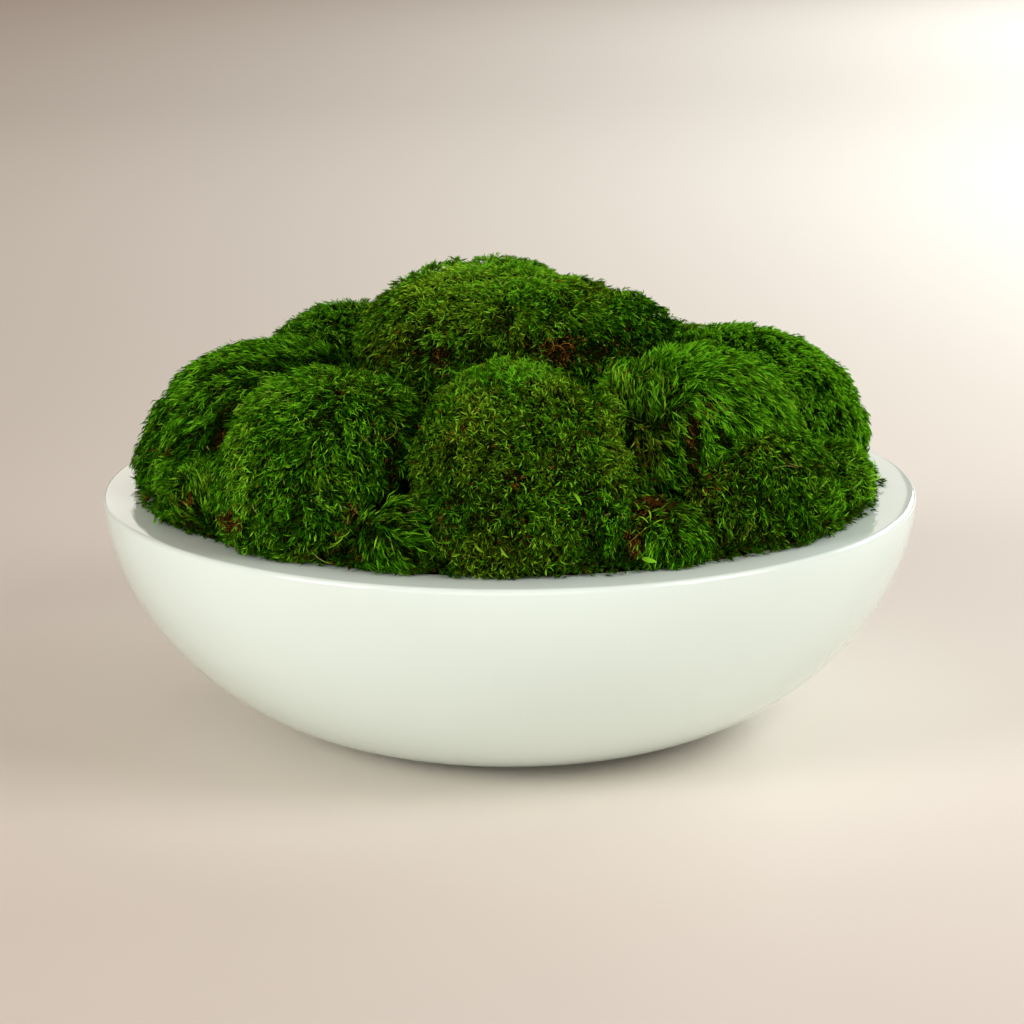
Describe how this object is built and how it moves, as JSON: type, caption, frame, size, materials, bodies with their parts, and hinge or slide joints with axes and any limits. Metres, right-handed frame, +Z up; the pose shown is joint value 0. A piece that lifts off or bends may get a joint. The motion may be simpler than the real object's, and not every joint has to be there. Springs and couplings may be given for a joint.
{
  "type": "moss clump in a bowl",
  "caption": "Heap of rounded green moss cushions on soil in a wide, round, glossy off-white bowl with a broad flat rim and a flat base.",
  "frame": {"origin": "centre of the bowl's flat underside, on the surface that it stands on", "axes": "+Z up, +X to the right of somebody facing the front of the heap, and the front of the heap faces -Y"},
  "size_m": [0.5, 0.5, 0.2823],
  "materials": {
    "glaze": "gloss",
    "soil": "matte",
    "moss": "matte"
  },
  "bodies": {
    "root": {"bowl": "glaze", "soil": "soil", "moss_top": "moss", "moss_front": "moss", "moss_front_left": "moss", "moss_front_right": "moss", "moss_front_right_lower": "moss", "moss_left": "moss", "moss_right": "moss", "moss_back_left": "moss", "moss_back": "moss", "moss_back_right": "moss", "moss_upper_left": "moss", "moss_upper_back": "moss", "moss_upper_right": "moss", "moss_tuft_left": "moss", "moss_tuft_front_left": "moss", "moss_tuft_front_right": "moss", "moss_tuft_right": "moss", "moss_tuft_back_left": "moss", "moss_tuft_back_middle": "moss", "moss_tuft_back": "moss", "moss_tuft_back_right": "moss"}
  },
  "joints": []
}
